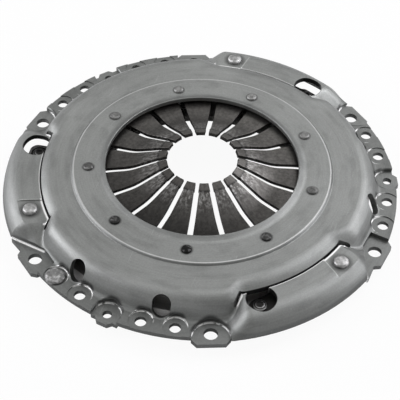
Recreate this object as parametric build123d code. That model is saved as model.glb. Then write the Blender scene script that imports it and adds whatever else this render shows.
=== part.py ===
from build123d import *
import math
import os

# A push-type clutch cover assembly with a diaphragm spring, shown uninstalled.
# The origin is the centre of the mounting plane, the underside of the bolt pads.
# +Z points to the release bearing, and lengths are in millimetres, angles in degrees.

# Driving dimensions of the pattern
pocket_angles = [90, 210, 330]
bolt_circle_radius = 127.0
bolt_hole_radius = 4.5
dowel_hole_radius = 3.0
balance_circle_radius = 125.5
balance_hole_radius = 3.7
balance_hole_offsets = [-20, -10, 10, 20]

# Driving dimensions of the pressed cover
sheet = 3.5
flange_underside = 3.0
flange_radius = 132.0
crown_top = 21.2
ring_top = 22.7
lip_top = 24.7
lip_radius = 64.7
lip_foot_radius = 69.3
lip_bend = 6.0
sheet_edge = 0.5
ring_outer_radius = 86.5
ring_step_width = 1.3
ring_step_bend = 0.8
section_start_radius = 95.0
crown_join_radius = 96.0
wall_crown_radius = 106.3
wall_roll_radius = 9.5
wall_foot_radius = 4.0
wall_turn = 66.0
pocket_crown_radius = 98.5
pocket_roll_radius = 13.0
pocket_foot_radius = 1.5
pocket_turn = 45.0
pocket_floor_top = 16.8
pocket_floor_end_radius = 119.6
flange_rim_start_radius = 126.0
skirt_radius = 134.15
skirt_end_height = 4.2
skirt_hold = 0.15
pocket_start = -25.5
pocket_full_start = -18.0
pocket_full_end = 19.7
pocket_end = 29.1
end_rim_radius = 122.5
end_floor_run = 0.4
blend_sections = 7
cutter_margin = 1.0

# Driving dimensions of the bolt and dowel pads
pad_inner_radius = 119.0
pad_outer_radius = 135.0
pad_arc_centre = 131.0
pad_arc_radius = 12.4
pad_half_width = 9.0
pad_edge = 0.7
pad_offset = 30.0
slant_half_width = 12.0
slant_web = 3.0
slant_web_low = 0.8
slant_web_top = 5.8
slant_inner_offset = 1.9
slant_tip_radius = 131.4
slant_tip_offset = 23.9
slant_notch_depth = 3.9
slant_notch_offset = 11.7
dowel_offset = 60.0
dowel_arc_centre = 127.3
dowel_arc_radius = 9.2
dowel_front_radius = 131.5
dowel_tab_root = 6.0
dowel_tab_radius = 134.3
dowel_tab_half_width = 3.6

# Driving dimensions of the openings in the cover
wall_opening_radius = 6.0
wall_opening_offset = 15.0
wall_opening_height = 13.0
wall_opening_rise = 3.5
wall_opening_tilt = 30.0
spot_face_radius = 8.0
spot_face_depth = 0.6
window_radius = 9.7
window_centre_radius = 115.0
window_offset = -14.0
slit_radius = 107.8
slit_width = 1.0
slit_start = -20.0
slit_end = 21.9
slit_hook_radius = 114.0
slit_hook_offset = -22.3
slit_hook_width = 1.6
slit_tail_radius = 113.2
slit_tail_offset = 24.0
slit_tail_width = 2.0
strap_pad_start = 10.5
strap_pad_edge = 23.6
strap_pad_outer_radius = 123.5
strap_pad_drop = 1.0

# Driving dimensions of the rivets
distance_circle_radius = 76.0
distance_rivet_count = 9
distance_first_angle = 10.0
distance_shank_radius = 2.75
head_dome = 2.0
head_edge = 0.3
distance_head_radius = 3.5
distance_head_height = 1.5
distance_foot_radius = 6.3
distance_foot_height = 2.2
strap_rivet_radius = 3.0
strap_rivet_head_radius = 5.15
strap_rivet_head_height = 2.5
strap_rivet_foot_radius = 5.0
strap_rivet_foot_height = 2.2
lug_rivet_head_radius = 4.7
lug_rivet_head_height = 2.3
lug_rivet_recess_radius = 2.5
lug_rivet_recess_depth = 1.6
balance_rivet_offset = -20
balance_rivet_segment = 270
balance_head_radius = 7.0
balance_head_height = 2.6
balance_foot_radius = 5.0
balance_foot_height = 1.6

# Driving dimensions of the spring and its fulcrum rings
wire_radius = 1.5
wire_clearance = 0.03
finger_count = 18
spring_thickness = 2.6
spring_outer_radius = 101.0
spring_tip_radius = 23.75
cone_angle = 12.0
cone_end_radius = 64.0
finger_flat_end_radius = 48.0
finger_flat_rise = 1.3
finger_crease_radius = 29.5
finger_crease_rise = 7.6
finger_tip_rise = 1.9
cone_end_bend = 60.0
finger_flat_bend = 40.0
finger_crease_bend = 8.0
spring_edge = 0.6
tip_slot_width = 2.5
root_slot_width = 3.4
slot_end_width = 4.0
spring_window_inner_radius = 68.5
spring_window_outer_radius = 80.0
spring_window_width = 11.0
spring_window_corner = 2.5

# Driving dimensions of the straps
strap_leaves = 3
strap_leaf = 0.8
strap_width = 12.0
strap_end = 7.0
strap_bend_radius = 40.0
strap_hole_clearance = 0.1
strap_drop = 4.5
strap_cover_radius = 118.0
strap_cover_offset = 15.65
strap_lug_radius = 114.0
strap_lug_offset = -14.1

# Driving dimensions of the pressure plate
friction_drop = 6.5
friction_inner_radius = 73.0
friction_outer_radius = 114.0
plate_back_radius = 111.0
plate_back_height = 3.5
plate_bore_back = -1.0
plate_slope_radius = 90.0
fulcrum_ridge_radius = 98.0
fulcrum_ridge_width = 5.0
fulcrum_ridge_gap = 7.0
fulcrum_ridge_gaps = 6
ridge_clearance = 0.05
lug_half_width = 11.0
lug_corner = 5.5
lug_outer_radius = 122.5
lug_thickness = 6.9
lug_relief_radius = 6.2
plate_edge = 0.8


# Sizes worked out from the driving dimensions
flange_top = flange_underside + sheet
ring_underside = ring_top - sheet
pocket_floor_underside = pocket_floor_top - sheet
strap_pad_top = pocket_floor_top - strap_pad_drop
strap_seat = strap_pad_top - sheet
strap_pack = strap_leaves * strap_leaf
lug_top = strap_seat - strap_pack - strap_drop
lug_underside = lug_top - lug_thickness
friction_face = -friction_drop
pitch = 360 / len(pocket_angles)
upper_wire_height = ring_underside - wire_radius
wire_circle_radius = distance_circle_radius + distance_shank_radius + wire_radius + wire_clearance
cone_slope = math.tan(math.radians(cone_angle))
spring_depth = spring_thickness / math.cos(math.radians(cone_angle))
wire_reach = (wire_radius + wire_clearance) / math.cos(math.radians(cone_angle))
fulcrum_top = upper_wire_height - wire_reach
lower_wire_height = fulcrum_top - spring_depth - wire_reach
distance_foot_top = lower_wire_height - wire_radius
above_all = lip_top + 10

os.makedirs("parts", exist_ok=True)


def cosine(angle):
    return math.cos(math.radians(angle))


def sine(angle):
    return math.sin(math.radians(angle))


def between(low, high, share):
    """Give the value that lies a share of the way from low to high."""
    return low + (high - low) * share


def around(shape, angle):
    """Turn a shape about the clutch axis."""
    return Rot(0, 0, angle) * shape


def on_circle(shape, radius, angle):
    """Put a shape on a circle about the clutch axis, turned with it."""
    return Rot(0, 0, angle) * Pos(radius, 0, 0) * shape


def post(radius, low, high):
    """A round post about Z between two heights."""
    return Pos(0, 0, low) * Cylinder(radius, high - low, align=(Align.CENTER, Align.CENTER, Align.MIN))


def slab(outline, low, high):
    """A flat outline given height."""
    return Pos(0, 0, low) * extrude(outline, amount=high - low)


def ring_sector(inner, outer, low, high, start, end):
    """A block of ring between two radii, two heights and two angles."""
    middle = ((inner + outer) / 2, 0, (low + high) / 2)
    face = Pos(*middle) * (Plane.XZ * Rectangle(outer - inner, high - low))
    return revolve(around(face, start), axis=Axis.Z, revolution_arc=end - start)


def outline_xz(points, radii):
    """A closed outline in the XZ plane with one corner radius for each point."""
    return make_face(Plane.XZ * FilletPolyline(*points, radius=radii, close=True))


def sheet_side(steps, depth):
    """Follow runs and bends from the crown outwards, on the top of the sheet or depth below it.
    A step is (0, length) for a straight run, or (radius, turn) for a bend, down if turn is above 0."""
    point = Vector(section_start_radius, 0, crown_top - depth)
    heading = 0
    edges = []
    for radius, amount in steps:
        if radius == 0:
            reached = point + Vector(cosine(heading), 0, -sine(heading)) * amount
            edges.append(Edge.make_line(point, reached))
        else:
            side = math.copysign(1, amount)
            reach = side * (radius - side * depth)
            centre = point - Vector(sine(heading), 0, cosine(heading)) * reach
            middle = heading + amount / 2
            heading += amount
            halfway = centre + Vector(sine(middle), 0, cosine(middle)) * reach
            reached = centre + Vector(sine(heading), 0, cosine(heading)) * reach
            edges.append(Edge.make_three_point_arc(point, halfway, reached))
        point = reached
    return edges


def wall_section(share, angle, rim_share=None, rim_radius=None):
    """The cover's section from crown to rim: share 0 is the bolted flange, share 1 is a strap pocket.
    Its rim rolls down as far as rim_share says, and ends at rim_radius where that is given."""
    crown = between(wall_crown_radius, pocket_crown_radius, share)
    roll = between(wall_roll_radius, pocket_roll_radius, share)
    foot = between(wall_foot_radius, pocket_foot_radius, share)
    turn = between(wall_turn, pocket_turn, share)
    floor_top = between(flange_top, pocket_floor_top, share)
    drop = crown_top - floor_top
    wall = (drop - (roll + foot) * (1 - cosine(turn))) / sine(turn)
    floor_start = crown + (roll + foot) * sine(turn) + wall * cosine(turn)
    rim_share = share if rim_share is None else rim_share
    rim_start = between(flange_rim_start_radius, pocket_floor_end_radius, share)
    rim_end = between(flange_radius, skirt_radius, rim_share)
    if rim_radius is not None:
        rim_end = rim_radius
        rim_start = between(floor_start + end_floor_run, pocket_floor_end_radius, max(0, 2 * share - 1))
    rim_run = rim_end - rim_start
    rim_drop = floor_top - between(flange_top, skirt_end_height, rim_share)
    slope = math.degrees(math.atan2(rim_drop, rim_run))
    rim = (0, rim_run)
    if rim_drop > 0:
        rim = (math.hypot(rim_run, rim_drop) / (2 * sine(slope)), 2 * slope)
    steps = [(0, crown - section_start_radius), (roll, turn), (0, wall), (foot, -turn)]
    steps += [(0, rim_start - floor_start), rim]
    top = sheet_side(steps, 0)
    under = sheet_side(steps, sheet)
    ends = [Edge.make_line(top[-1] @ 1, under[-1] @ 1), Edge.make_line(under[0] @ 0, top[0] @ 0)]
    return around(Face(Wire(top + under + ends)), angle)


def eased(part):
    return part * part * (3 - 2 * part)


def pocket_start_blend(angle):
    """The cover's wall where a flange rises into a pocket: the skirt is full nearly from the start."""
    sections = []
    for step in range(blend_sections):
        part = step / (blend_sections - 1)
        turn = angle + between(pocket_start, pocket_full_start, part)
        sections.append(wall_section(eased(part), turn, rim_share=min(1, part / skirt_hold)))
    return loft(sections)


def pocket_end_blend(angle):
    """The cover's wall where a pocket falls to the slanted seam beside a bolt pad."""
    sections = []
    for step in range(blend_sections):
        part = step / (blend_sections - 1)
        turn = angle + between(pocket_full_end, pocket_end, part)
        sections.append(wall_section(1 - eased(part), turn, rim_share=1 - part ** 4,
                                     rim_radius=between(skirt_radius, end_rim_radius, part)))
    return loft(sections)


def cover_wall():
    """The outer half of the pressing: three flanges, three pockets and the blends between them."""
    pieces = []
    for angle in pocket_angles:
        pocket_span = pocket_full_end - pocket_full_start
        flange_span = pitch - (pocket_end - pocket_start)
        pieces.append(revolve(wall_section(1, angle + pocket_full_start), Axis.Z, pocket_span))
        pieces.append(revolve(wall_section(0, angle + pocket_end), Axis.Z, flange_span))
        pieces.append(pocket_start_blend(angle))
        pieces.append(pocket_end_blend(angle))
    wall = pieces[0].fuse(*pieces[1:])
    return wall - post(crown_join_radius, -above_all, above_all)


def cover_ring():
    """The flat inner ring that carries the spring, with its stepped rim and raised lip."""
    step_foot = ring_outer_radius + ring_step_width
    top = [(lip_radius, lip_top), (lip_foot_radius, ring_top), (ring_outer_radius, ring_top)]
    top += [(step_foot, crown_top), (crown_join_radius, crown_top)]
    under = [(radius, height - sheet) for radius, height in reversed(top)]
    bends = [sheet_edge, lip_bend, ring_step_bend, sheet_edge, 0]
    radii = bends + [0, ring_step_bend, sheet_edge, lip_bend, sheet_edge]
    return revolve(outline_xz(top + under, radii), Axis.Z)


def flat_outline(points):
    return make_face(Polyline(*points, close=True))


def pressed_down(centre, radius, front):
    """A pad with a round inner side, half sheared down out of the flange, so a thin web still holds it.
    Gives what is cut from the flange, with a broken edge, and the pad itself."""
    disc = Pos(centre, 0) * Circle(radius)
    far = centre + 2 * radius
    beyond = flat_outline([(centre, -radius), (far, -radius), (far, radius), (centre, radius)])
    cut = slab(disc + beyond, -cutter_margin, above_all)
    edge = Cone(radius, radius + 2 * pad_edge, 2 * pad_edge)
    pad = slab((disc - beyond) + flat_outline(front), 0, sheet)
    return cut + Pos(centre, 0, flange_top) * edge, pad


def round_pad():
    """A bolt pad that is sheared all the way round."""
    front = [(pad_arc_centre, -pad_arc_radius), (pad_outer_radius, -pad_half_width),
             (pad_outer_radius, pad_half_width), (pad_arc_centre, pad_arc_radius)]
    return pressed_down(pad_arc_centre, pad_arc_radius, front)


def dowel_pad():
    """A dowel pad with a small tab past the flange's edge."""
    half = [(dowel_arc_centre, dowel_arc_radius), (dowel_front_radius, dowel_arc_radius),
            (dowel_front_radius, dowel_tab_root), (dowel_tab_radius, dowel_tab_half_width)]
    front = half + [(radius, -offset) for radius, offset in reversed(half)]
    return pressed_down(dowel_arc_centre, dowel_arc_radius, front)


def slant_pad():
    """A bolt pad beside a pocket. The pocket's end wall runs down to it along a slanted seam."""
    far = pad_outer_radius + 2 * sheet
    start = Vector(pad_inner_radius, slant_inner_offset)
    tip = Vector(slant_tip_radius, slant_tip_offset)
    along = (tip - start).normalized()
    beyond = start + along * ((far - start.X) / along.X)
    cut = flat_outline([(pad_inner_radius, -slant_half_width), (far, -slant_half_width),
                        (beyond.X, beyond.Y), (start.X, start.Y)])
    corner = pad_outer_radius - (slant_half_width - pad_half_width)
    blank = flat_outline([(pad_inner_radius, -slant_half_width), (corner, -slant_half_width),
                          (pad_outer_radius, -pad_half_width), (pad_outer_radius, pad_half_width),
                          (pad_outer_radius - slant_notch_depth, slant_notch_offset),
                          (tip.X + pad_edge, tip.Y - pad_edge), (tip.X, tip.Y), (start.X, start.Y)])
    inside = Vector(-along.Y, along.X) * slant_web
    web = flat_outline([(start.X, start.Y), (tip.X, tip.Y), (tip.X + inside.X, tip.Y + inside.Y),
                        (start.X + inside.X, start.Y + inside.Y)])
    pad = slab(blank, 0, sheet) + slab(web, slant_web_low, slant_web_top)
    return slab(cut, -cutter_margin, above_all), pad


def slot_between(start, end, width, low, high):
    """A round-ended slot cut down through the sheet between two points."""
    middle = (start + end) / 2
    run = end - start
    slot = SlotCenterToCenter(run.length, width)
    turn = math.degrees(math.atan2(run.Y, run.X))
    return slab(Pos(middle.X, middle.Y) * Rot(0, 0, turn) * slot, low, high)


def polar(radius, angle):
    return Vector(radius * cosine(angle), radius * sine(angle))


def pocket_cuts():
    """What is cut through one pocket, drawn with the pocket's middle on +X."""
    low = strap_seat - sheet
    window = on_circle(post(window_radius, low, above_all), window_centre_radius, window_offset)
    window -= post(slit_radius, low - cutter_margin, above_all + cutter_margin)
    slit = ring_sector(slit_radius, slit_radius + slit_width, low, above_all, slit_start, slit_end)
    half = slit_radius + slit_width / 2
    hook = slot_between(polar(half, slit_start), polar(slit_hook_radius, slit_hook_offset),
                        slit_hook_width, low, above_all)
    bend = polar(half, slit_end)
    tail_end = polar(slit_tail_radius, slit_tail_offset)
    tail = slot_between(bend, tail_end, slit_tail_width, low, above_all)
    lowered = ring_sector(slit_radius, skirt_radius, strap_pad_top, above_all,
                          strap_pad_start, slit_tail_offset)
    kept = flat_outline([(bend.X, strap_pad_edge), (skirt_radius, strap_pad_edge),
                         (skirt_radius, tail_end.Y), (tail_end.X, tail_end.Y), (bend.X, bend.Y)])
    return window + slit + hook + tail + (lowered & slab(kept, 0, above_all))


def strap_boss():
    """The underside of the lowered pad that the straps are riveted against."""
    return ring_sector(slit_radius + slit_width, strap_pad_outer_radius, strap_seat,
                       pocket_floor_underside + strap_pad_drop / 5, strap_pad_start, pocket_full_end)


def cover():
    body = cover_wall() + cover_ring()
    cuts = []
    pads = []
    for angle in pocket_angles:
        cut, pad = round_pad()
        cuts.append(around(cut, angle - pad_offset))
        pads.append(around(pad, angle - pad_offset))
        cut, pad = slant_pad()
        cuts.append(around(mirror(cut, Plane.XZ), angle + pad_offset))
        pads.append(around(mirror(pad, Plane.XZ), angle + pad_offset))
        cut, pad = dowel_pad()
        cuts.append(around(mirror(cut, Plane.XZ), angle + dowel_offset))
        pads.append(around(mirror(pad, Plane.XZ), angle + dowel_offset))
        cuts.append(around(pocket_cuts(), angle))
        pads.append(around(strap_boss(), angle))
    body = body.cut(*cuts).fuse(*pads)
    through = (-cutter_margin, flange_top + cutter_margin)
    holes = []
    for angle in pocket_angles:
        dowel = angle + dowel_offset
        for offset in (-pad_offset, pad_offset):
            hole = post(bolt_hole_radius, *through)
            holes.append(on_circle(hole, bolt_circle_radius, angle + offset))
        hole = post(dowel_hole_radius, *through)
        holes.append(on_circle(hole, bolt_circle_radius, dowel))
        for offset in balance_hole_offsets:
            hole = post(balance_hole_radius, *through)
            face = post(spot_face_radius, flange_top - spot_face_depth, flange_top + wall_foot_radius)
            holes.append(on_circle(hole + face, balance_circle_radius, dowel + offset))
        wall = wall_crown_radius + wall_roll_radius
        for offset in (-wall_opening_offset, wall_opening_offset):
            drill = extrude(SlotCenterToCenter(wall_opening_rise, 2 * wall_opening_radius),
                            amount=2 * sheet, both=True)
            opening = Pos(wall, 0, wall_opening_height) * Rot(0, 90 - wall_opening_tilt, 0) * drill
            holes.append(around(opening, dowel + offset))
        hole = post(strap_rivet_radius, 0, above_all)
        holes.append(on_circle(hole, strap_cover_radius, angle + strap_cover_offset))
    for angle in distance_angles():
        hole = post(distance_shank_radius, 0, above_all)
        holes.append(on_circle(hole, distance_circle_radius, angle))
    return body.cut(*holes)


def distance_angles():
    turn = 360 / distance_rivet_count
    return [distance_first_angle + turn * number for number in range(distance_rivet_count)]


def rivet(shank, low, high, head, head_height, foot, foot_height):
    """A rivet with a domed head above high and a flat foot below low."""
    dome = head_dome * head
    top = post(head, high, high + head_height) & Pos(0, 0, high + head_height - dome) * Sphere(dome)
    rims = top.edges().filter_by(lambda edge: edge.is_closed)
    top = fillet(rims.sort_by(Axis.Z)[-1], head_edge)
    return top + post(shank, low, high) + post(foot, low - foot_height, low)


def distance_rivet():
    return rivet(distance_shank_radius, distance_foot_top, ring_top, distance_head_radius,
                 distance_head_height, distance_foot_radius, distance_foot_height)


def strap_cover_rivet():
    return rivet(strap_rivet_radius, strap_seat - strap_pack, strap_pad_top, strap_rivet_head_radius,
                 strap_rivet_head_height, strap_rivet_foot_radius, strap_rivet_foot_height)


def strap_plate_rivet():
    """The rivet through a plate lug: its head has the dimple of a hollow punch."""
    seat = lug_top + strap_pack
    body = rivet(strap_rivet_radius, lug_underside, seat, lug_rivet_head_radius,
                 lug_rivet_head_height, strap_rivet_foot_radius, strap_rivet_foot_height)
    top = seat + lug_rivet_head_height
    return body - post(lug_rivet_recess_radius, top - lug_rivet_recess_depth, top + cutter_margin)


def balance_rivet():
    return rivet(balance_hole_radius, flange_underside, flange_top - spot_face_depth,
                 balance_head_radius, balance_head_height, balance_foot_radius, balance_foot_height)


def fulcrum_ring(height):
    wire = Pos(wire_circle_radius, 0, height) * (Plane.XZ * Circle(wire_radius))
    return revolve(wire, Axis.Z)


def spring_top(radius):
    """The height of the spring's cone on its upper side."""
    return fulcrum_top + (wire_circle_radius - radius) * cone_slope


def diaphragm_spring():
    """One steel disc: a cone at the rim, cut into fingers that rise to the release bearing."""
    shoulder = spring_top(cone_end_radius)
    flat_end = shoulder + finger_flat_rise
    crease = flat_end + finger_crease_rise
    top = [(spring_outer_radius, spring_top(spring_outer_radius)), (cone_end_radius, shoulder),
           (finger_flat_end_radius, flat_end), (finger_crease_radius, crease),
           (spring_tip_radius, crease + finger_tip_rise)]
    under = [(radius, height - spring_depth) for radius, height in reversed(top)]
    radii = [spring_edge, cone_end_bend, finger_flat_bend, finger_crease_bend, spring_edge]
    radii += reversed(radii)
    disc = revolve(outline_xz(top + under, radii), Axis.Z)
    half_tip, half_root, half_end = tip_slot_width / 2, root_slot_width / 2, slot_end_width / 2
    inside = spring_tip_radius - cutter_margin
    window_middle = (spring_window_inner_radius + spring_window_outer_radius) / 2
    window_length = spring_window_outer_radius - spring_window_inner_radius
    edge = [(inside, half_tip), (finger_crease_radius, half_tip), (finger_crease_radius, half_root),
            (window_middle, half_end)]
    slot = flat_outline(edge + [(radius, -half) for radius, half in reversed(edge)])
    window = RectangleRounded(window_length, spring_window_width, spring_window_corner)
    slot += Pos(window_middle, 0) * window
    cut = slab(slot, 0, above_all)
    turn = 360 / finger_count
    return disc.cut(*[around(cut, distance_first_angle + turn * number) for number in range(finger_count)])


def pressure_plate():
    """A cast iron ring with a fulcrum ridge on its back and three lugs for the straps."""
    under = spring_top(fulcrum_ridge_radius) - spring_depth
    ridge_round = fulcrum_ridge_width / 2
    ridge_centre = under - (ridge_round + ridge_clearance) / cosine(cone_angle)
    inner = fulcrum_ridge_radius - ridge_round
    outer = fulcrum_ridge_radius + ridge_round
    crest = (fulcrum_ridge_radius, ridge_centre + ridge_round)
    slope = Polyline((outer, plate_back_height), (plate_back_radius, plate_back_height),
                     (friction_outer_radius, 0), (friction_outer_radius, friction_face + plate_edge),
                     (friction_outer_radius - plate_edge, friction_face),
                     (friction_inner_radius + plate_edge, friction_face),
                     (friction_inner_radius, friction_face + plate_edge),
                     (friction_inner_radius, plate_bore_back),
                     (plate_slope_radius, plate_back_height), (inner, plate_back_height),
                     (inner, ridge_centre))
    ridge = ThreePointArc((inner, ridge_centre), crest, (outer, ridge_centre))
    side = Line((outer, ridge_centre), (outer, plate_back_height))
    body = revolve(Plane.XZ * make_face(slope + ridge + side), Axis.Z)
    gap = Pos(fulcrum_ridge_radius, 0, plate_back_height) * Box(
        2 * fulcrum_ridge_width, fulcrum_ridge_gap, 2 * sheet + ridge_centre,
        align=(Align.CENTER, Align.CENTER, Align.MIN))
    gap_turn = 360 / fulcrum_ridge_gaps
    body = body.cut(*[around(gap, gap_turn * number) for number in range(fulcrum_ridge_gaps)])
    for angle in pocket_angles:
        lug_angle = angle + strap_lug_offset
        inner_edge = fulcrum_ridge_radius + fulcrum_ridge_width
        length = lug_outer_radius - inner_edge
        lug = Pos(inner_edge + length / 2, 0) * Rectangle(length, 2 * lug_half_width)
        lug = fillet(lug.vertices().group_by(Axis.X)[-1], lug_corner)
        body += around(slab(lug, lug_underside, lug_top), lug_angle)
        below = friction_face - cutter_margin
        relief = post(lug_relief_radius, below, lug_underside)
        hole = post(strap_rivet_radius, below, lug_top + cutter_margin)
        body -= on_circle(relief + hole, strap_lug_radius, lug_angle)
    return body


def strap_leaf_shape(layer):
    """One spring steel leaf of a strap pack, drawn along +X from its cover rivet."""
    run = strap_run().length
    down = layer * strap_leaf
    line = [(-strap_end, -down), (strap_end, -down), (run - strap_end, -down - strap_drop),
            (run + strap_end, -down - strap_drop)]
    under = [(place, height - strap_leaf) for place, height in reversed(line)]
    bend = strap_bend_radius
    side = outline_xz(line + under, [0, bend, bend, 0, 0, bend, bend, 0])
    leaf = extrude(side, amount=strap_width / 2, both=True)
    plan = Pos(run / 2, 0) * SlotOverall(run + 2 * strap_end, strap_width)
    leaf &= slab(plan, -above_all, above_all)
    hole = post(strap_rivet_radius + strap_hole_clearance, -above_all, above_all)
    return Pos(0, 0, strap_seat) * (leaf - hole - Pos(run, 0, 0) * hole)


def strap_run():
    """From a strap's cover rivet to its lug rivet, for a pocket with its middle on +X."""
    return polar(strap_lug_radius, strap_lug_offset) - polar(strap_cover_radius, strap_cover_offset)


def strap_in_pocket(leaf, angle):
    run = strap_run()
    start = polar(strap_cover_radius, strap_cover_offset)
    turn = math.degrees(math.atan2(run.Y, run.X))
    return around(Pos(start.X, start.Y, 0) * Rot(0, 0, turn) * leaf, angle)


def save(name, shape):
    export_step(shape, f"parts/{name}.step")


save("cover", cover())
save("upper_fulcrum_ring", fulcrum_ring(upper_wire_height))
save("lower_fulcrum_ring", fulcrum_ring(lower_wire_height))
save("diaphragm_spring", diaphragm_spring())
save("pressure_plate", pressure_plate())
for number, angle in enumerate(distance_angles(), start=1):
    save(f"distance_rivet_{number}", on_circle(distance_rivet(), distance_circle_radius, angle))
for number, angle in enumerate(pocket_angles, start=1):
    for layer in range(strap_leaves):
        save(f"strap_{number}_leaf_{layer + 1}", strap_in_pocket(strap_leaf_shape(layer), angle))
    save(f"strap_{number}_cover_rivet",
         on_circle(strap_cover_rivet(), strap_cover_radius, angle + strap_cover_offset))
    save(f"strap_{number}_plate_rivet",
         on_circle(strap_plate_rivet(), strap_lug_radius, angle + strap_lug_offset))
save("balance_rivet",
     on_circle(balance_rivet(), balance_circle_radius, balance_rivet_segment + balance_rivet_offset))
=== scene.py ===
import cmath
import math
from collections import namedtuple

import bpy
import numpy as np
from mathutils import Matrix, Vector


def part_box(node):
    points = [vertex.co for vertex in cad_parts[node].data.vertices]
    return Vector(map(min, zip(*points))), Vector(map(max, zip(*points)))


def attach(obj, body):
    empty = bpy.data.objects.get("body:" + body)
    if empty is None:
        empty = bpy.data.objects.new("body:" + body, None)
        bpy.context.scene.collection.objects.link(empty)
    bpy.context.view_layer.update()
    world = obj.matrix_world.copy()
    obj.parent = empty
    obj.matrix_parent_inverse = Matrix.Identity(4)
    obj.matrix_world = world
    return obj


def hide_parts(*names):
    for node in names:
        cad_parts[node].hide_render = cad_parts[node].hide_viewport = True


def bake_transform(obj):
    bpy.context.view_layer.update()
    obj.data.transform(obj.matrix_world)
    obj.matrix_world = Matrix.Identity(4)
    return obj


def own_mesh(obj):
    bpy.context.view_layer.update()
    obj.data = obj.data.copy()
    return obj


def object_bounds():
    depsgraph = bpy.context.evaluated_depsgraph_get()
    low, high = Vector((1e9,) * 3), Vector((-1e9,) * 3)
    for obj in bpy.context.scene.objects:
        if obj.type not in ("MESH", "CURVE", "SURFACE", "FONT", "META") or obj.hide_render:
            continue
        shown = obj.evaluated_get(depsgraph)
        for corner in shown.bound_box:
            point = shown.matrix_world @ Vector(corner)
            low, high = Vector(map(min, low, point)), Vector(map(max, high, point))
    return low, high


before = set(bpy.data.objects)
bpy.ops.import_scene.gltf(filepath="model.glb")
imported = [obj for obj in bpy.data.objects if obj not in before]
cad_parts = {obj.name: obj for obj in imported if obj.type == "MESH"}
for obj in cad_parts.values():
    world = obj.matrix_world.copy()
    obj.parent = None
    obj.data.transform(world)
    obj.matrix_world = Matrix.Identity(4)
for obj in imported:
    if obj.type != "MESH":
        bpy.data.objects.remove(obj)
cad_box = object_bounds()
scene = bpy.context.scene
MM = 0.001


# The camera stands where the photographer stood, worked out from the nine rivets and the bolt holes.
# It is a long lens, about 0.9 m away and 47 degrees above the table.
lens_mm = 116.11
camera_height_angle = math.radians(46.817)
camera_roll = math.radians(-1.569)
clutch_turn = math.radians(26.35)
rivet_plane = 23.5
aim_mm = (1.443, 24.185, -863.07)

camera_data = bpy.data.cameras.new("camera")
camera_data.lens = lens_mm
camera_data.sensor_width = 36
camera_data.clip_start = 0.05
camera_data.clip_end = 30
camera = bpy.data.objects.new("camera", camera_data)
scene.collection.objects.link(camera)
scene.camera = camera
tilt = Matrix.Rotation(camera_height_angle - math.pi / 2, 3, "X")
to_camera = Matrix.Rotation(camera_roll, 3, "Z") @ tilt @ Matrix.Rotation(-clutch_turn, 3, "Z")
shift = Vector(aim_mm) - to_camera @ Vector((0, 0, rivet_plane))
place = (to_camera.transposed() @ -shift) * MM
camera.matrix_world = Matrix.Translation(place) @ to_camera.transposed().to_4x4()


# The studio: a pale table under an even sky, weak lamps behind and above, and stronger ones at the sides.
# The camera sees white beyond the table, and the metal sees an even light grey.
class Shade:
    """A value or colour inside a material. Sums and products written with it become Math nodes."""

    def __init__(self, tree, socket=None):
        self.tree = tree
        self.socket = socket

    def node(self, kind, sockets, output=0, **settings):
        """Make a node of a kind, set it up, fill its sockets with values or links, and give one output."""
        made = self.tree.nodes.new("ShaderNode" + kind)
        for name, value in settings.items():
            setattr(made, name, value)
        for name, value in sockets.items():
            if isinstance(value, Shade):
                self.tree.links.new(value.socket, made.inputs[name])
            else:
                made.inputs[name].default_value = value
        return Shade(self.tree, made.outputs[output])

    def math(self, operation, first, second=0.0):
        return self.node("Math", {0: first, 1: second}, operation=operation)

    def __add__(self, other):
        return self.math("ADD", self, other)

    def __sub__(self, other):
        return self.math("SUBTRACT", self, other)

    def __rsub__(self, other):
        return self.math("SUBTRACT", other, self)

    def __mul__(self, other):
        return self.math("MULTIPLY", self, other)

    def __truediv__(self, other):
        return self.math("DIVIDE", self, other)

    __radd__ = __add__
    __rmul__ = __mul__

    def more_of(self, other):
        return self.math("MAXIMUM", self, other)

    def blend(self, low, high):
        """Mix two colours by this value."""
        return self.node("Mix", {0: self, 6: low, 7: high}, output=2, data_type="RGBA")

    def rise(self, start, end):
        """A smooth step from 0 at start to 1 at end. Where end is the lower one, it is 1 below end and 0
        above start."""
        return self.node("MapRange", {"Value": self, "From Min": start, "From Max": end},
                         interpolation_type="SMOOTHSTEP")

    def between(self, start, end, before, after):
        """1 from start to end, rising over the stretch before it and falling over the stretch after it."""
        return self.rise(start - before, start) * self.rise(end + after, end)

    def near(self, middle, half):
        """1 where this value is at middle, falling to 0 at half on both sides of it."""
        return 1.0 - self.math("ABSOLUTE", self - middle).rise(0.0, half)


def new_material(name):
    """An empty material and a Shade to build it with."""
    material = bpy.data.materials.new(name)
    material.use_nodes = True
    material.node_tree.nodes.clear()
    return material, Shade(material.node_tree)


def finish_material(material, surface):
    """Join a shader to the material's output."""
    output = material.node_tree.nodes.new("ShaderNodeOutputMaterial")
    material.node_tree.links.new(surface.socket, output.inputs["Surface"])
    return material


sky_fill = 0.16
sky_in_metal = 0.59
world = bpy.data.worlds.new("studio")
scene.world = world
scene.view_settings.view_transform = "Standard"
world.use_nodes = True
world.node_tree.nodes.clear()
sky = Shade(world.node_tree)
mirrored = sky.node("LightPath", {}, output="Is Glossy Ray")
straight = sky.node("LightPath", {}, output="Is Camera Ray")
straight = straight + sky.node("LightPath", {}, output="Is Transmission Ray")
fill = sky_fill + mirrored * (sky_in_metal - sky_fill)
light = sky.node("Background", {"Color": (1, 1, 1, 1), "Strength": fill + straight * (1.0 - fill)})
world_output = world.node_tree.nodes.new("ShaderNodeOutputWorld")
world.node_tree.links.new(light.socket, world_output.inputs["Surface"])

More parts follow.
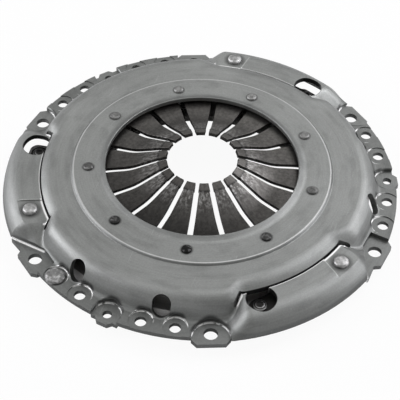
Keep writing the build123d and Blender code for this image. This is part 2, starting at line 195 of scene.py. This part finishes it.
table_half = 6.0
table_grey = (0.80, 0.80, 0.80, 1)
table_white = 0.94
table_height = cad_box[0].z
table_mesh = bpy.data.meshes.new("table_top")
table_mesh.from_pydata([(-table_half, -table_half, table_height), (table_half, -table_half, table_height),
                        (table_half, table_half, table_height), (-table_half, table_half, table_height)],
                       [], [(0, 1, 2, 3)])
table = bpy.data.objects.new("table_top", table_mesh)
scene.collection.objects.link(table)
material, shade = new_material("pale_table")
paper = shade.node("BsdfPrincipled", {"Base Color": table_grey, "Roughness": 0.8})
lit = shade.node("Emission", {"Color": (1, 1, 1, 1), "Strength": 1.0})
looking = shade.node("LightPath", {}, output="Is Camera Ray")
table_mesh.materials.append(finish_material(
    material, shade.node("MixShader", {0: looking * table_white, 1: paper, 2: lit})))

lamp_size = 0.8
lamp_distance = 1.4
cool = (0.96, 0.955, 1.0)


def soft_lamp(name, bearing, height, power, colour=(1, 1, 1)):
    """A square soft lamp aimed at the clutch. Its bearing is counted from behind the clutch, as the camera
    sees it, towards the right, and its height from the table, both in degrees."""
    data = bpy.data.lights.new(name, "AREA")
    data.shape = "SQUARE"
    data.size = lamp_size
    data.energy = power
    data.color = colour
    level = math.cos(math.radians(height)) * lamp_distance
    turn = clutch_turn - math.radians(bearing)
    lamp = bpy.data.objects.new(name, data)
    lamp.location = (-math.sin(turn) * level, math.cos(turn) * level,
                     math.sin(math.radians(height)) * lamp_distance)
    lamp.rotation_mode = "QUATERNION"
    lamp.rotation_quaternion = lamp.location.to_track_quat("Z", "Y")
    scene.collection.objects.link(lamp)


soft_lamp("lamp_behind_right", 30, 50, 1.05)
soft_lamp("lamp_behind_left", -30, 50, 1.0)
soft_lamp("lamp_above", 0, 88, 2.7)
soft_lamp("lamp_left", -90, 35, 8.0, cool)
soft_lamp("lamp_low_left", -75, 16, 8.0, cool)
soft_lamp("lamp_right", 60, 45, 9.6, cool)
soft_lamp("lamp_low_right", 85, 14, 7.5, cool)


# The cover is deep-drawn from one steel sheet of 3.5 mm and has a satin grey finish.
# The press tool left faint rings. Every sheared edge is a thin bright line of painted highlight,
# and painted shade darkens its hollows, lower walls and one side.
# It carries the other pieces, and its solid is kept as it was modelled.
Spot = namedtuple("Spot", "shade x y z radius angle")
# Bare steel: the colour of real bare metal and of every painted highlight.
bare_metal_and_highlight = (0.95, 0.95, 0.94, 1)


def noise(shade, place, scale=1.0, detail=3.0, roughness=0.5):
    """Soft noise about 0.5 over a place, which is a vector or three values."""
    if isinstance(place, tuple):
        place = shade.node("CombineXYZ", dict(enumerate(place)))
    return shade.node("TexNoise", {"Vector": place, "Scale": scale, "Detail": detail,
                                   "Roughness": roughness})


def steel(name, base, roughness, metallic=0.9, rings=0.0, streaks=0.0, grain=0.2, cloud=0.12, marks=None):
    """Bare or coated steel, varied by a fine grain, soft clouds, rings about the clutch axis
    and streaks along its radius. Rings are noise over the distance from the axis, stretched along
    the circle; streaks are the same noise over the angle. marks takes a spot of the piece, in
    millimetres and radians about that axis, and gives its brightness and its tone."""
    material, shade = new_material(name)
    place = shade.node("TexCoord", {}, output="Object")
    x, y, z = (shade.node("SeparateXYZ", {0: place}, output=axis) / MM for axis in range(3))
    radius = shade.math("SQRT", x * x + y * y)
    angle = shade.math("ARCTAN2", y, x)
    ring_noise = noise(shade, (radius * 1.4, angle * 1.5, z * 0.3)) - 0.5
    streak_noise = noise(shade, (radius * 0.05, angle * 90.0, z * 0.1)) - 0.5
    clouds = noise(shade, place, scale=26.0) - 0.5
    specks = noise(shade, place, scale=1000.0) - 0.5
    tone = 1.0 + clouds * cloud + specks * grain + ring_noise * rings + streak_noise * streaks
    bright = None
    if marks:
        bright, mark_tone = marks(Spot(shade, x, y, z, radius, angle))
        tone = tone * mark_tone
    colour = shade.node("VectorMath", {0: base, "Scale": tone}, operation="SCALE")
    if bright:
        colour = bright.blend(colour, bare_metal_and_highlight)
    height = specks * 0.6 + ring_noise * (2.0 * rings) + streak_noise * (2.0 * streaks)
    bump = shade.node("Bump", {"Height": height, "Strength": 0.08, "Distance": 0.4 * MM})
    surface = shade.node("BsdfPrincipled", {"Base Color": colour, "Metallic": metallic,
                                            "Roughness": roughness + clouds * 0.15 + specks * 0.12,
                                            "Normal": bump})
    return finish_material(material, surface)


def polar(distance, degrees):
    """A point of the cover as a complex number, with the X axis through the middle of a pocket."""
    return cmath.rect(distance, math.radians(degrees))


pocket_pitch = math.radians(120)
first_pocket = math.radians(90)
crown_height = (20.0, 20.5)
pocket_floor_height = (12.0, 13.0)
flange_top = 6.5
pad_top = 3.5
spot_face_top = 5.9
pad_circles = [(131.0, -30, 12.4), (127.3, 60, 9.2), (127.3, -60, 9.2)]
spot_faces = [(125.5, 40, 8.0), (125.5, 50, 8.0), (125.5, -40, 8.0), (125.5, -50, 8.0)]
seam_ends = [polar(1, 30) * complex(119, -1.9), polar(1, 30) * complex(131.4, -23.9)]
slit_inner = 107.8
slit_outer = 108.8
slit_reach = (math.radians(-20), math.radians(22))
slit_fade = 0.01
along_strap_pad = (math.radians(12.6), math.radians(22))
tail_angle = math.radians(22.6)
tail_end = 113.2
hook_ends = [polar(108.3, -20), polar(114.0, -22.3)]
window_centre = polar(115.0, -14)
window_radius = 9.7
strap_pad_edge = 23.6
strap_pad_outer = 123.0
cover_end = polar(118.0, 15.65)
step_radius = 87.1
distance_rivet_circle = 76.0
distance_rivet_first = math.radians(10)
distance_rivet_pitch = math.radians(40)
# Painted shade: the cover grows darker towards one side, by these parts per millimetre along X and Y.
painted_shade_run = (-0.0005, 0.0010)


def turned_to(spot, first, pitch):
    """The spot as it lies once the nearest of a ring of like places is turned onto the X axis. The
    first of them stands at one angle, and the others follow at a pitch."""
    angle = spot.shade.math("FLOORED_MODULO", spot.angle - first + pitch / 2, pitch) - pitch / 2
    x = spot.radius * spot.shade.math("COSINE", angle)
    y = spot.radius * spot.shade.math("SINE", angle)
    return spot._replace(x=x, y=y, angle=angle)


def from_point(spot, point):
    """The spot's distance from a point."""
    across = spot.x - point.real
    along = spot.y - point.imag
    return spot.shade.math("SQRT", across * across + along * along)


def on_line(spot, ends, offset, half):
    """1 on a line beside the run between two ends, falling to 0 at half away from it. The line lies
    offset to the right of the run, or to its left where offset is below 0."""
    start, end = ends
    length = abs(end - start)
    run = (end - start) / length
    off_line = (spot.x - start.real) * run.imag - (spot.y - start.imag) * run.real
    down_line = (spot.x - start.real) * run.real + (spot.y - start.imag) * run.imag
    return off_line.near(offset, half) * down_line.between(0.5, length, 1.0, 0.5)


def pad_edge_highlight_and_shade(local):
    """A painted highlight at the foot of the sheared edges of the pads and spot faces, and painted shade on
    the wall above them. Both are arcs of the circle that was cut, on its inner half. Each circle has the
    distance and the angle of its centre, and its radius."""
    bright = local.z * 0.0
    painted_wall_shade = local.z * 0.0
    for circles, floor in ((pad_circles, pad_top), (spot_faces, spot_face_top)):
        for out, degrees, size in circles:
            distance = from_point(local, polar(out, degrees))
            edge = distance.near(size - 0.1, 0.6) * local.radius.rise(out, out - 4.0)
            # Painted shade on the wall above each cut.
            tool = distance.near(size + 0.4, 1.5) * local.radius.rise(out - 2.0, out - 5.0)
            bright = bright.more_of(edge * local.z.rise(floor + 1.9, floor + 1.1))
            painted_wall_shade = painted_wall_shade.more_of(tool * local.z.rise(floor + 1.3, floor + 2.3))
    return bright, painted_wall_shade * local.z.rise(flange_top + 5.5, flange_top + 3.0)


def slit_edge_highlight(local):
    """A painted highlight on the outer side of the slit in each pocket, brightest along the strap pad, its
    tail behind that pad and one side of the hook at its other end."""
    side = local.angle.between(*slit_reach, slit_fade, slit_fade) * local.radius.near(slit_outer + 0.15, 0.6)
    along_pad = local.angle.between(*along_strap_pad, 0.02, 0.01) * local.radius.near(slit_outer + 0.6, 1.1)
    tail = local.angle.near(tail_angle, 0.008) * local.radius.between(slit_outer + 1.0, tail_end, 1.0, 1.0)
    hook = on_line(local, hook_ends, -1.5, 0.9)
    return (side * 0.55).more_of(along_pad).more_of(tail).more_of(hook) * local.z.rise(*pocket_floor_height)


def cover_shades(spot, local):
    """Where the sheet is lighter or darker, each with its strength. Real stains darken it at random, and the
    pads
    are lighter. The rest is painted light: painted shade on the lower wall and flange, at the foot of the
    crown's step, round each rivet, on the inner rim and in the slit and round the window, and painted
    highlights on the walls between the pockets and along each strap pad's recess.
    """
    z = spot.z
    radius = spot.radius
    crown = z.rise(*crown_height)
    pocket_floor = z.rise(*pocket_floor_height)
    stains = noise(spot.shade, (radius * 0.16, spot.angle * 5.0, z * 0.1), detail=4.0)
    by_rivet = turned_to(spot, distance_rivet_first, distance_rivet_pitch)
    # Painted shade: a dark line in the slit and round the window's wall.
    slit_shade = local.angle.between(*slit_reach, slit_fade, slit_fade) * radius.near(slit_inner, 0.3)
    window_shade = from_point(local, window_centre).near(window_radius, 0.4)
    window_shade = window_shade * radius.rise(slit_inner - 0.4, slit_inner)
    # Painted highlight: a lighter band along the edge of each strap pad's recess.
    recess_highlight = local.y.near(strap_pad_edge, 1.0)
    recess_highlight = recess_highlight * radius.between(slit_outer + 0.5, strap_pad_outer, 0.5, 1.5)
    # Painted shade: the lower wall and the flange are darker.
    low_wall = z.rise(flange_top + 9.0, flange_top - 2.0)
    flange = z.rise(flange_top + 2.0, flange_top + 0.5)
    pads = z.rise(pad_top + 0.7, pad_top + 0.1)
    # Painted highlight: the walls between the pockets are lighter.
    wall_highlight = z.near(15.5, 6.0) * spot.shade.math("ABSOLUTE", local.angle).rise(0.50, 0.62)
    # Painted shade at the foot of the crown's step, round each distance rivet and each strap rivet, and on
    # the inner rim.
    step_shade = radius.near(step_radius + 0.2, 0.6) * crown
    rivet_shadow = from_point(by_rivet, complex(distance_rivet_circle, 0)).near(3.6, 1.3) * crown
    strap_rivet_shadow = from_point(local, cover_end).rise(9.0, 5.6) * pocket_floor
    lip_shade = radius.rise(69.5, 66.5)
    return [(-0.10, low_wall), (-0.22, flange), (0.12, pads), (0.20, wall_highlight),
            (-0.17, stains.rise(0.45, 0.72)), (-0.30, step_shade), (-0.50, rivet_shadow), (-0.22, lip_shade),
            (0.70, recess_highlight * pocket_floor), (-0.50, strap_rivet_shadow),
            (-0.85, window_shade.more_of(slit_shade))]


def cover_marks(spot):
    """Painted highlights on the sheared edges, on the seam at the end of each pocket and on the step of the
    crown, and light scuffs, over a finish that is lighter and darker in places, with painted shade darker
    towards one side."""
    local = turned_to(spot, first_pocket, pocket_pitch)
    edges, painted_wall_shade = pad_edge_highlight_and_shade(local)
    broken = noise(spot.shade, (spot.x, spot.y, spot.z), scale=0.35, detail=2.0).rise(0.30, 0.52)
    # The seam is a painted highlight.
    seam = on_line(local, seam_ends, 0.0, 1.3) * spot.z.rise(pad_top + 2.0, pad_top + 1.0)
    # The step of the crown has a painted highlight.
    step = spot.radius.near(step_radius - 1.1, 0.7) * spot.z.rise(*crown_height)
    along_scuffs = (spot.x * 1.1 + spot.y * 0.2, spot.y * 0.05 - spot.x * 0.02, spot.z)
    scuffs = noise(spot.shade, along_scuffs, detail=2.0).rise(0.68, 0.76)
    bright = (edges * broken).more_of(slit_edge_highlight(local)).more_of(seam)
    bright = bright.more_of(step * 0.35).more_of(scuffs * 0.07)
    # Painted shade: darker towards one side.
    tone = 1.0 + spot.x * painted_shade_run[0] + spot.y * painted_shade_run[1]
    for strength, mask in cover_shades(spot, local) + [(-0.75, painted_wall_shade)]:
        tone = tone * (1.0 + mask * strength)
    return bright * 0.9, tone


cover_steel = steel("satin_pressed_steel", (0.236, 0.242, 0.234), 0.49, rings=0.28, grain=0.45, cloud=0.30,
                    marks=cover_marks)
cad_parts["cover"].data.materials[0] = cover_steel


# The diaphragm spring is one blanked disc of spring steel, dished, hardened and shot-peened dark.
# Its eighteen fingers part at their root windows, curve up to the release bearing and end in a formed tip.
finger_count = 18
finger_first_slot = math.radians(10)
finger_tip = 23.75
finger_crease = 29.5
spring_rim = 101.0
spring_thickness = 2.6 * MM
spring_edge = 0.35 * MM
spring_upper_side = [(finger_tip, 29.96), (finger_crease, 28.06), (48.0, 20.46), (64.0, 19.16),
                     (spring_rim, 11.30)]
spring_middle_drop = 1.33
slot_line = [(finger_crease, 1.25), (29.9, 1.7), (74.25, 2.0)]
root_window_start = 68.5
root_window_end = 80.0
root_window_half = 5.5
root_window_corner = 2.5
# Painted shade: the spring and the distance rivets grow darker towards one side, by these parts per
# millimetre.
side_shade_run = (-0.0028, 0.0115)


def slot_half_width(radius):
    """Half the gap beside a finger: narrow at the tip, 2 mm at the root, then the window. Its corners are
    quarter circles, so it is narrower there by the corner's radius less the square root of that radius
    squared minus the way into the corner squared."""
    into_start = root_window_start + root_window_corner - radius
    into_end = radius - root_window_end + root_window_corner
    into_corner = np.clip(np.maximum(into_start, into_end), 0, root_window_corner)
    at_window = root_window_half - root_window_corner + np.sqrt(root_window_corner ** 2 - into_corner ** 2)
    at, half = np.array(slot_line).T
    return np.where(radius > root_window_start, at_window, np.interp(radius, at, half))


def spring_height(radius):
    """The middle of the sheet, a fixed drop under its upper side. That side has straight runs between
    the bends, averaged over a few millimetres either side of each point, so the bends are round. The
    crease at the tip stays sharp."""
    reach = np.clip((radius - 30.0) * 0.8, 0.4, 4.0)[..., None] * np.linspace(-1, 1, 9)
    at, height = np.array(spring_upper_side).T
    return np.interp(radius[..., None] + reach, at, height).mean(-1) - spring_middle_drop


def grid_faces(rows, columns, first=0):
    """Four-sided faces of a grid whose points are numbered row by row."""
    corner = (np.arange(rows - 1)[:, None] * columns + np.arange(columns - 1)).ravel() + first
    return np.stack([corner, corner + 1, corner + columns + 1, corner + columns], 1)


def mesh_piece(name, points, faces, material):
    """A new piece from points in millimetres and faces, shaded smooth."""
    mesh = bpy.data.meshes.new(name)
    mesh.from_pydata((np.asarray(points) * MM).tolist(), [], np.asarray(faces).tolist())
    mesh.materials.append(material)
    mesh.shade_smooth()
    piece = bpy.data.objects.new(name, mesh)
    scene.collection.objects.link(piece)
    return piece


def apply_modifiers(piece):
    """Keep the shape that the piece's modifiers give, as its own mesh."""
    shaped = bpy.data.meshes.new_from_object(piece.evaluated_get(bpy.context.evaluated_depsgraph_get()))
    piece.modifiers.clear()
    piece.data = shaped


def thicken(piece, thickness, edge):
    """Give a sheet its thickness about its middle, and round its edges."""
    weld = piece.modifiers.new("weld", "WELD")
    weld.merge_threshold = 0.02 * MM
    solid = piece.modifiers.new("sheet", "SOLIDIFY")
    solid.thickness = thickness
    solid.offset = 0
    solid.use_even_offset = True
    bevel = piece.modifiers.new("edge", "BEVEL")
    bevel.width = edge
    bevel.segments = 2
    bevel.limit_method = "ANGLE"
    bevel.angle_limit = math.radians(50)
    bevel.harden_normals = True
    apply_modifiers(piece)


# A finger is a grid. Its rows are distances from the axis, closer together round the corners of the
# window, and its columns share out the angle that the slots leave. The rim behind it is a second grid.
quarter_turn = np.linspace(0, math.pi / 2, 6)
opening_rows = root_window_start + 0.02 + root_window_corner * (1 - np.cos(quarter_turn))
closing_rows = root_window_end - root_window_corner * (1 - np.cos(quarter_turn[::-1]))
finger_rows = np.concatenate([np.linspace(finger_tip, finger_crease - 0.2, 8), np.linspace(30.0, 68.4, 44),
                              opening_rows, np.linspace(72, 76, 3), closing_rows])
rim_rows = np.linspace(root_window_end, spring_rim, 16)
across = np.linspace(-1, 1, 9)
half_turn = math.pi / finger_count
finger_half = half_turn - np.arcsin(slot_half_width(finger_rows) / finger_rows)
rim_across = np.concatenate([[-half_turn], across * finger_half[-1], [half_turn]])
spring_points = []
spring_faces = []
for finger in range(finger_count):
    middle = finger_first_slot + half_turn * (2 * finger + 1)
    for rows, turn in ((finger_rows, middle + finger_half[:, None] * across),
                       (rim_rows, middle + np.tile(rim_across, (len(rim_rows), 1)))):
        spring_faces.append(grid_faces(*turn.shape, first=sum(len(part) for part in spring_points)))
        height = np.broadcast_to(spring_height(rows)[:, None], turn.shape)
        grid = np.stack([rows[:, None] * np.cos(turn), rows[:, None] * np.sin(turn), height], -1)
        spring_points.append(grid.reshape(-1, 3))


def spring_marks(spot):
    """The fingers have small uneven patches behind the tips, partly rubbing and partly a painted highlight,
    their tone varies in patches and they are lighter towards the tips. Painted shade darkens each tip past
    its crease, the crease itself and one side of the disc."""
    radius = spot.radius
    patches = noise(spot.shade, (radius * 0.45, spot.angle * 26.0, spot.z * 0.02), detail=4.0, roughness=0.6)
    # The patches are partly rubbing and partly a painted highlight.
    rubbed_and_highlight = radius.near(31.0, 15.0) * patches.rise(0.42, 0.75) * radius.rise(29.0, 30.5)
    tone = (1.0 + 0.35 * radius.rise(52.0, 27.0)) * (0.75 + 0.5 * patches.rise(0.3, 0.7))
    # Painted shade: darker towards one side.
    tone = tone * (1.0 + (spot.x * side_shade_run[0] + spot.y * side_shade_run[1]))
    # Painted shade on the tip and in its crease.
    tone = tone * (1.0 - 0.12 * radius.rise(29.6, 28.8)) * (1.0 - 0.75 * radius.near(29.8, 1.2))
    return rubbed_and_highlight * 0.20, tone


spring_steel = steel("dark_spring_steel", (0.068, 0.065, 0.061), 0.38, rings=0.2, streaks=0.5, grain=0.4,
                     cloud=0.5, marks=spring_marks)
spring = mesh_piece("spring_disc", np.concatenate(spring_points), np.concatenate(spring_faces), spring_steel)
thicken(spring, spring_thickness, spring_edge)
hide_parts("diaphragm_spring")
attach(spring, "cover")
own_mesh(spring)


# The fulcrum rings are bent from round drawn wire, one on each side of the spring, which tilts on them.
# The distance rivets hold them, and their solids are kept as they were modelled.
wire_steel = steel("drawn_wire", (0.14, 0.14, 0.14), 0.33, rings=0.2)
for node in ("upper_fulcrum_ring", "lower_fulcrum_ring"):
    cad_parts[node].data.materials[0] = wire_steel


# The pressure plate is a grey iron casting, with its friction face turned and ground.
# The cast back is dull and nearly black, partly its own dark casting and partly painted shade, and the turned
# rim and face have fine rings.
cast_back_height = 8.0


def plate_marks(spot):
    """The back above the turned rim is left as cast, and darkened nearly to black, partly as painted shade.
    """
    return None, 1.0 - 0.97 * spot.z.rise(cast_back_height - 0.5, cast_back_height + 0.5)


plate_iron = steel("turned_grey_iron", (0.450, 0.445, 0.437), 0.5, metallic=0.95, rings=0.35, cloud=0.4,
                   marks=plate_marks)
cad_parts["pressure_plate"].data.materials[0] = plate_iron


# Three packs of three spring steel leaves pull the pressure plate back and carry its drive.
# Each leaf is blanked with round ends, and is riveted to the cover at one end and to a lug at the other.
strap_leaf = 0.8
leaf_gap = 0.024
leaf_edge = 0.12 * MM
strap_half_width = 6.0
strap_overhang = 7.0
strap_level = 7.0
strap_drop = 4.5
strap_seat = 12.3
strap_bend = 3.0
lug_end = polar(114.0, -14.1)


def leaf_height(distance, run):
    """Level at both ends, with a straight slope between and soft bends where they meet. The height is
    averaged over the bend's length either side of each point."""
    places = distance[..., None] + np.linspace(-strap_bend, strap_bend, 9)
    return np.interp(places, [strap_level, run - strap_level], [0, -strap_drop]).mean(-1)


# The leaves' near black steel is partly their own dark finish and partly painted shade under the cover.
strap_steel = steel("rolled_strap_steel", (0.028, 0.027, 0.026), 0.42, cloud=0.4)
strap_line = lug_end - cover_end
strap_run = abs(strap_line)
strap_line = strap_line / strap_run
# A leaf is a grid whose rows cross the line between its rivets. Half a row is the square root of the half
# width squared minus the way into the round end squared.
round_end = strap_half_width * (1 - np.cos(np.linspace(0.12, math.pi / 2, 8))) - strap_overhang
lengthways = np.concatenate([round_end, np.linspace(0, strap_run, 50), strap_run - round_end[::-1]])
past_end = np.maximum(-lengthways, lengthways - strap_run)
into_end = np.clip(past_end - strap_overhang + strap_half_width, 0, strap_half_width)
leaf_half = np.sqrt(strap_half_width ** 2 - into_end ** 2)
leaf_across = leaf_half[:, None] * np.linspace(-1, 1, 7)
for number in range(3):
    turn = cmath.rect(1, first_pocket + pocket_pitch * number)
    start, end = ((cover_end + strap_line * along) * turn for along in (strap_level, strap_run - strap_level))
    for layer in range(3):
        flat = (cover_end + strap_line * (lengthways[:, None] + 1j * leaf_across)) * turn
        height = strap_seat - (layer + 0.5) * strap_leaf + leaf_height(lengthways, strap_run)
        grid = np.stack([flat.real, flat.imag, np.broadcast_to(height[:, None], flat.shape)], -1)
        name = f"strap_{number + 1}_leaf_{layer + 1}"
        leaf = mesh_piece(f"{name}_spring", grid.reshape(-1, 3), grid_faces(*flat.shape), strap_steel)
        thicken(leaf, (strap_leaf - leaf_gap) * MM, leaf_edge)
        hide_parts(name)
        start.real * MM
        start.imag * MM
        end.real * MM
        end.imag * MM
        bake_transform(leaf)


# Rivets are cold-headed steel: the upset head has a nearly flat top, marked by the snap tool.
# The nine distance rivets stand in the cover's inner ring, the others hold the straps and one balance hole.
# The rivets in the lugs keep their solids, with a punched dimple in each head.
Rivet = namedtuple("Rivet", "head head_height shank foot foot_height")
strap_rivet = Rivet(head=5.15, head_height=2.5, shank=3.0, foot=5.0, foot_height=2.2)
balance_rivet = Rivet(head=7.0, head_height=2.6, shank=3.7, foot=5.0, foot_height=1.6)
distance_rivet = Rivet(head=3.5, head_height=1.5, shank=2.75, foot=6.3, foot_height=2.2)
foot_edge = 0.3
axis_gap = 0.02
lug_rivet_head = 4.7
lug_rivet_dimple = 2.5


def lug_rivet_marks(spot):
    """Painted highlights round the edge of a lug rivet's head and round its dimple, and painted shade on the
    dimple's floor.
    """
    distance = from_point(turned_to(spot, first_pocket, pocket_pitch), lug_end)
    rim = distance.near(lug_rivet_head - 0.6, 0.6).more_of(distance.near(lug_rivet_dimple + 0.2, 0.5))
    return rim * 0.22, 1.0 - 0.5 * distance.near(0.0, 1.4)


def snap_marks(spot):
    """Bright and dull patches a millimetre or two across, where the tool struck the head."""
    patches = noise(spot.shade, (spot.x, spot.y, spot.z), scale=0.40)
    return patches.rise(0.50, 0.72) * 0.32, 1.0 - 0.30 * patches.rise(0.5, 0.34)


def dull_marks(spot):
    """The distance rivets have a duller top with fewer bright patches, and painted shade makes them darker on
    the same side as the spring.
    """
    bright, tone = snap_marks(spot)
    return bright * 0.35, tone * (1.0 + (spot.x * side_shade_run[0] + spot.y * side_shade_run[1]))


def set_rivet(node, rivet, material):
    """A rivet turned about its own axis, as rings of points from the bottom of the foot to the top of the
    head. The head's height over its seat falls as the square root of one minus the sixth power of the
    radius, which leaves the top nearly flat and the rim round."""
    low, high = (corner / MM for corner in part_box(node))
    seat = high.z - rivet.head_height
    foot_top = low.z + rivet.foot_height
    share = np.sin(np.linspace(axis_gap, math.pi / 2, 18))
    head = np.stack([rivet.head * share, seat + rivet.head_height * np.sqrt(1 - share ** 6)], 1)
    below = [(rivet.shank, seat), (rivet.shank, foot_top), (rivet.foot, foot_top),
             (rivet.foot, low.z + foot_edge), (rivet.foot - foot_edge, low.z), (axis_gap, low.z)]
    reach, height = np.concatenate([head, below])[::-1].T
    turns = np.linspace(0, 2 * math.pi, 49)
    middle = (low + high) / 2
    grid = np.stack([middle.x + reach[:, None] * np.cos(turns), middle.y + reach[:, None] * np.sin(turns),
                     np.broadcast_to(height[:, None], (len(reach), len(turns)))], -1)
    piece = mesh_piece(f"{node}_set", grid.reshape(-1, 3), grid_faces(*grid.shape[:2]), material)
    shut = piece.modifiers.new("shut", "WELD")
    shut.merge_threshold = 0.05 * MM
    apply_modifiers(piece)
    piece.data.set_sharp_from_angle(angle=math.radians(45))
    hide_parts(node)
    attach(piece, "cover")


bright_steel = steel("struck_rivet_steel", (0.31, 0.31, 0.305), 0.42, cloud=0.5, grain=0.4, marks=snap_marks)
grey_steel = steel("grey_rivet_steel", (0.19, 0.19, 0.186), 0.5, cloud=0.6, grain=0.5, marks=snap_marks)
# The distance rivets' steel is darker than the other rivets' as painted shade.
dark_steel = steel("dark_rivet_steel", (0.115, 0.115, 0.112), 0.5, cloud=0.6, grain=0.5, marks=dull_marks)
# The lug rivets' near black steel is partly their own colour and partly painted shade under the cover.
lug_steel = steel("punched_rivet_steel", (0.036, 0.035, 0.034), 0.4, cloud=0.5, marks=lug_rivet_marks)
for node in list(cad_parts):
    if node.endswith("plate_rivet"):
        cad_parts[node].data.materials[0] = lug_steel
    elif node.endswith("cover_rivet"):
        set_rivet(node, strap_rivet, bright_steel)
    elif node == "balance_rivet":
        set_rivet(node, balance_rivet, grey_steel)
    elif node.startswith("distance_rivet"):
        set_rivet(node, distance_rivet, dark_steel)
